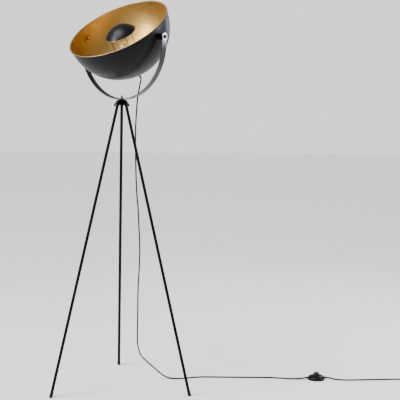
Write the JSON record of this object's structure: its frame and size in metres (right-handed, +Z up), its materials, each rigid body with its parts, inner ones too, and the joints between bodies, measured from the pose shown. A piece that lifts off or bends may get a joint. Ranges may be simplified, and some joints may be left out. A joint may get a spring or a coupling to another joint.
{
  "type": "tripod floor lamp",
  "caption": "Tripod floor lamp with a hemispherical tilting shade in a swivelling strip yoke, a bulb cover on rods, and a mains cord with a round foot switch and plug.",
  "frame": {"origin": "on the floor, under the middle of the box around the lamp without its cord; the tripod's own axis stands 56.8 mm towards -Y from it", "axes": "+Z up; +Y towards the rear leg; +X to the right for someone facing the two front legs, and the cord's floor run goes that way"},
  "size_m": [1.5715, 0.5294, 1.5601],
  "materials": {
    "legs_black": "satin black powder coat on steel tube",
    "rubber_black": "black rubber",
    "steel": "bright zinc-plated steel",
    "hub_black": "black paint on pressed steel and a turned boss",
    "yoke_steel": "dark satin steel strip",
    "shade_metal": "satin charcoal paint outside, gold lacquer inside",
    "black_metal": "black paint",
    "gold": "gold lacquer",
    "bronze": "dark bronze paint",
    "cover_black": "gloss black outside, gold lacquer inside",
    "black_plastic": "black moulded plastic",
    "white_plastic": "white ceramic-like insulator",
    "brass": "bright brass",
    "glass": "clear glass",
    "filament": "glass stem with yellow coated filaments",
    "cord": "dark grey flexible cord jacket"
  },
  "bodies": {
    "tripod": {"leg_left": "legs_black", "leg_right": "legs_black", "leg_rear": "legs_black", "foot_cap_left": "rubber_black", "foot_cap_right": "rubber_black", "foot_cap_rear": "rubber_black", "leg_inserts": "steel", "leg_studs": "steel", "hub_boss": "hub_black", "hub_plate": "hub_black", "swivel_bolt": "steel", "friction_washer": "rubber_black", "swivel_washer": "steel", "swivel_cap_nut": "steel", "cord_lower": "cord", "switch_base": "black_plastic", "switch_cover": "black_plastic", "switch_core": "white_plastic", "switch_spring": "steel", "switch_screws": "steel", "switch_bushings": "rubber_black", "cord_run": "cord", "cord_coil": "cord", "coil_tie": "black_plastic", "cord_end": "cord", "plug_relief": "rubber_black", "plug_body": "black_plastic", "plug_pins": "brass"},
    "yoke": {"yoke": "yoke_steel", "cord_upper": "cord"},
    "shade": {"shade_shell": "shade_metal", "pivot_spacer_left": "black_metal", "pivot_spacer_right": "black_metal", "pivot_bolt_left": "black_metal", "pivot_bolt_right": "black_metal", "pivot_washer_left": "steel", "pivot_washer_right": "steel", "inner_flange_left": "gold", "inner_flange_right": "gold", "cap_nut_left": "gold", "cap_nut_right": "gold", "nipple": "steel", "nipple_spacer": "steel", "nipple_nut": "steel", "inner_plate": "gold", "lampholder_cap": "black_plastic", "lampholder_body": "black_plastic", "lampholder_core": "white_plastic", "thread_shell": "brass", "bulb_cap": "steel", "bulb_glass": "glass", "bulb_filament": "filament", "cover_rods": "bronze", "rod_nuts": "steel", "bulb_cover": "cover_black", "cable_gland": "black_plastic", "strain_relief": "rubber_black", "cord_tail": "cord"},
    "button": {"switch_button": "black_plastic"}
  },
  "joints": [
    {"name": "shade_swivel", "type": "hinge", "parent": "tripod", "child": "yoke", "pos_m": [0, -0.05675, 1.167], "axis": [0, 0, 1], "range_deg": [-120, 120]},
    {"name": "shade_tilt", "type": "hinge", "parent": "yoke", "child": "shade", "pos_m": [0, -0.05675, 1.407], "axis": [0.7071, -0.7071, 0], "range_deg": [-35, 110]},
    {"name": "switch_press", "type": "slide", "parent": "tripod", "child": "button", "axis": [0, 0, -1], "range_m": [0, 0.003], "stiffness_N_per_m": 400, "deforming": ["switch_spring"]}
  ]
}
